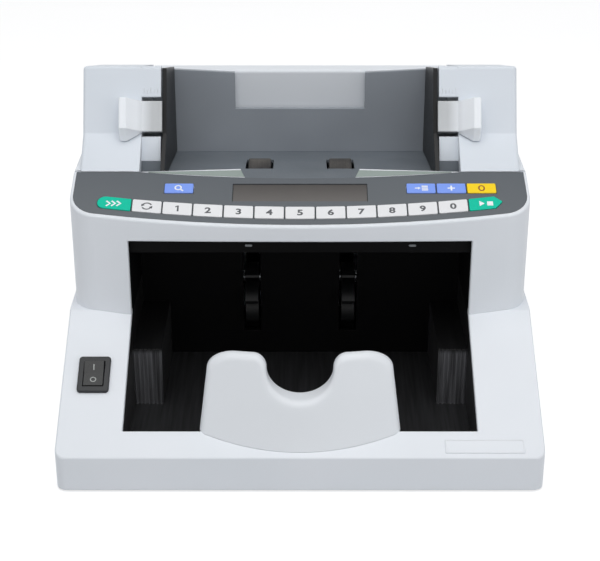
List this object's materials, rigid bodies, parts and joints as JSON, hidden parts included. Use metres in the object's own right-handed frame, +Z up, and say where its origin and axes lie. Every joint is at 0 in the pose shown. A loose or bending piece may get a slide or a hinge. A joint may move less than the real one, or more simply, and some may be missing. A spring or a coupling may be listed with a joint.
{
  "type": "banknote counting machine",
  "caption": "Desk-top banknote counter with a sloped key panel, a top hopper with sliding side guides and a front stacking pocket with a notched stop.",
  "frame": {"origin": "under the middle of the case, on the plane of the feet", "axes": "+X to the user's right, +Y to the back, +Z up"},
  "size_m": [0.27, 0.232, 0.1946],
  "materials": {
    "case_plastic": "fine moulded texture, cool light grey",
    "stop_plastic": "fine moulded texture, cool light grey",
    "panel_print": "printed film, dark grey",
    "window_smoke": "smoked acrylic",
    "key_white": "satin, off-white",
    "key_green": "satin, green",
    "key_blue": "satin, blue",
    "key_yellow": "satin, yellow",
    "pocket_black": "matt black",
    "hopper_dark": "matt dark grey",
    "switch_black": "semi-gloss black",
    "roller_rubber": "matt rubber",
    "shaft_steel": "ground",
    "frame_steel": "zinc plated sheet",
    "plate_paint": "grey paint",
    "bush_brass": "sintered",
    "pulley_plastic": "plain",
    "board_green": "solder mask"
  },
  "bodies": {
    "chassis": {"base_housing": "case_plastic", "front_cover": "case_plastic", "rear_cover": "case_plastic", "hopper_side_left": "case_plastic", "hopper_side_right": "case_plastic", "stacker_stop": "stop_plastic", "panel_overlay": "panel_print", "display_window": "window_smoke", "pocket_tray": "pocket_black", "pocket_hood": "pocket_black", "hopper_floor": "hopper_dark", "hopper_back_plate": "hopper_dark", "switch_bezel": "switch_black", "mains_inlet": "switch_black", "drive_belts": "roller_rubber", "rubber_feet": "roller_rubber", "tie_rods": "shaft_steel", "case_screws": "shaft_steel", "side_frames": "frame_steel", "drive_motor": "frame_steel", "bottom_plate": "plate_paint", "bearings": "bush_brass", "key_board": "board_green", "main_board": "board_green", "power_supply": "board_green", "display_module": "board_green"},
    "switch_rocker": {"switch_rocker": "switch_black"},
    "left_guide": {"guide_plate_left": "pocket_black", "guide_slider_left": "case_plastic"},
    "right_guide": {"guide_plate_right": "pocket_black", "guide_slider_right": "case_plastic"},
    "feed_roller_set": {"feed_shaft": "shaft_steel", "feed_rollers": "roller_rubber", "feed_pulleys": "pulley_plastic"},
    "pick_roller_set": {"pick_shaft": "shaft_steel", "pick_rollers": "roller_rubber", "pick_pulley": "pulley_plastic"},
    "pinch_roller_set": {"pinch_rollers": "roller_rubber"},
    "stacker_wheel_set": {"stacker_shaft": "shaft_steel", "stacker_wheels": "roller_rubber", "stacker_pulley": "pulley_plastic", "encoder_disc": "pulley_plastic"},
    "motor_rotor": {"motor_pulley": "pulley_plastic"},
    "preset_key": {"preset_key": "key_green"},
    "mode_key": {"mode_key": "key_white"},
    "digit_key_1": {"digit_key_1": "key_white"},
    "digit_key_2": {"digit_key_2": "key_white"},
    "digit_key_3": {"digit_key_3": "key_white"},
    "digit_key_4": {"digit_key_4": "key_white"},
    "digit_key_5": {"digit_key_5": "key_white"},
    "digit_key_6": {"digit_key_6": "key_white"},
    "digit_key_7": {"digit_key_7": "key_white"},
    "digit_key_8": {"digit_key_8": "key_white"},
    "digit_key_9": {"digit_key_9": "key_white"},
    "digit_key_0": {"digit_key_0": "key_white"},
    "start_key": {"start_key": "key_green"},
    "detect_key": {"detect_key": "key_blue"},
    "batch_key": {"batch_key": "key_blue"},
    "add_key": {"add_key": "key_blue"},
    "clear_key": {"clear_key": "key_yellow"}
  },
  "joints": [
    {"name": "preset_key_press", "type": "slide", "parent": "chassis", "child": "preset_key", "axis": [0, 0.342, -0.9397], "range_m": [0, 0.0006], "stiffness_N_per_m": 800, "springref_m": -0.0006},
    {"name": "mode_key_press", "type": "slide", "parent": "chassis", "child": "mode_key", "axis": [0, 0.342, -0.9397], "range_m": [0, 0.0006], "stiffness_N_per_m": 800, "springref_m": -0.0006},
    {"name": "digit_key_1_press", "type": "slide", "parent": "chassis", "child": "digit_key_1", "axis": [0, 0.342, -0.9397], "range_m": [0, 0.0006], "stiffness_N_per_m": 800, "springref_m": -0.0006},
    {"name": "digit_key_2_press", "type": "slide", "parent": "chassis", "child": "digit_key_2", "axis": [0, 0.342, -0.9397], "range_m": [0, 0.0006], "stiffness_N_per_m": 800, "springref_m": -0.0006},
    {"name": "digit_key_3_press", "type": "slide", "parent": "chassis", "child": "digit_key_3", "axis": [0, 0.342, -0.9397], "range_m": [0, 0.0006], "stiffness_N_per_m": 800, "springref_m": -0.0006},
    {"name": "digit_key_4_press", "type": "slide", "parent": "chassis", "child": "digit_key_4", "axis": [0, 0.342, -0.9397], "range_m": [0, 0.0006], "stiffness_N_per_m": 800, "springref_m": -0.0006},
    {"name": "digit_key_5_press", "type": "slide", "parent": "chassis", "child": "digit_key_5", "axis": [0, 0.342, -0.9397], "range_m": [0, 0.0006], "stiffness_N_per_m": 800, "springref_m": -0.0006},
    {"name": "digit_key_6_press", "type": "slide", "parent": "chassis", "child": "digit_key_6", "axis": [0, 0.342, -0.9397], "range_m": [0, 0.0006], "stiffness_N_per_m": 800, "springref_m": -0.0006},
    {"name": "digit_key_7_press", "type": "slide", "parent": "chassis", "child": "digit_key_7", "axis": [0, 0.342, -0.9397], "range_m": [0, 0.0006], "stiffness_N_per_m": 800, "springref_m": -0.0006},
    {"name": "digit_key_8_press", "type": "slide", "parent": "chassis", "child": "digit_key_8", "axis": [0, 0.342, -0.9397], "range_m": [0, 0.0006], "stiffness_N_per_m": 800, "springref_m": -0.0006},
    {"name": "digit_key_9_press", "type": "slide", "parent": "chassis", "child": "digit_key_9", "axis": [0, 0.342, -0.9397], "range_m": [0, 0.0006], "stiffness_N_per_m": 800, "springref_m": -0.0006},
    {"name": "digit_key_0_press", "type": "slide", "parent": "chassis", "child": "digit_key_0", "axis": [0, 0.342, -0.9397], "range_m": [0, 0.0006], "stiffness_N_per_m": 800, "springref_m": -0.0006},
    {"name": "start_key_press", "type": "slide", "parent": "chassis", "child": "start_key", "axis": [0, 0.342, -0.9397], "range_m": [0, 0.0006], "stiffness_N_per_m": 800, "springref_m": -0.0006},
    {"name": "detect_key_press", "type": "slide", "parent": "chassis", "child": "detect_key", "axis": [0, 0.342, -0.9397], "range_m": [0, 0.0006], "stiffness_N_per_m": 800, "springref_m": -0.0006},
    {"name": "batch_key_press", "type": "slide", "parent": "chassis", "child": "batch_key", "axis": [0, 0.342, -0.9397], "range_m": [0, 0.0006], "stiffness_N_per_m": 800, "springref_m": -0.0006},
    {"name": "add_key_press", "type": "slide", "parent": "chassis", "child": "add_key", "axis": [0, 0.342, -0.9397], "range_m": [0, 0.0006], "stiffness_N_per_m": 800, "springref_m": -0.0006},
    {"name": "clear_key_press", "type": "slide", "parent": "chassis", "child": "clear_key", "axis": [0, 0.342, -0.9397], "range_m": [0, 0.0006], "stiffness_N_per_m": 800, "springref_m": -0.0006},
    {"name": "mains_rocker", "type": "hinge", "parent": "chassis", "child": "switch_rocker", "pos_m": [-0.117, -0.0693, 0.04806], "axis": [1, 0, 0], "range_deg": [-16, 0]},
    {"name": "left_guide_slide", "type": "slide", "parent": "chassis", "child": "left_guide", "axis": [1, 0, 0], "range_m": [0, 0.024]},
    {"name": "right_guide_slide", "type": "slide", "parent": "chassis", "child": "right_guide", "axis": [-1, 0, 0], "range_m": [0, 0.024]},
    {"name": "feed_spin", "type": "hinge", "parent": "chassis", "child": "feed_roller_set", "pos_m": [0, 0.074, 0.092], "axis": [1, 0, 0], "continuous": true},
    {"name": "pick_spin", "type": "hinge", "parent": "chassis", "child": "pick_roller_set", "pos_m": [0, 0.056, 0.11895], "axis": [1, 0, 0], "continuous": true},
    {"name": "pinch_spin", "type": "hinge", "parent": "chassis", "child": "pinch_roller_set", "pos_m": [0, 0.0973, 0.092], "axis": [1, 0, 0], "continuous": true},
    {"name": "stacker_spin", "type": "hinge", "parent": "chassis", "child": "stacker_wheel_set", "pos_m": [0, 0.052, 0.054], "axis": [1, 0, 0], "continuous": true},
    {"name": "motor_spin", "type": "hinge", "parent": "chassis", "child": "motor_rotor", "pos_m": [0, 0.09, 0.038], "axis": [1, 0, 0], "continuous": true}
  ],
  "couplings": [
    {"joint": "pick_spin", "follows": "feed_spin", "ratio": 1},
    {"joint": "pinch_spin", "follows": "feed_spin", "ratio": -2.2857},
    {"joint": "stacker_spin", "follows": "feed_spin", "ratio": 0.84615},
    {"joint": "motor_spin", "follows": "feed_spin", "ratio": 1.2222}
  ]
}
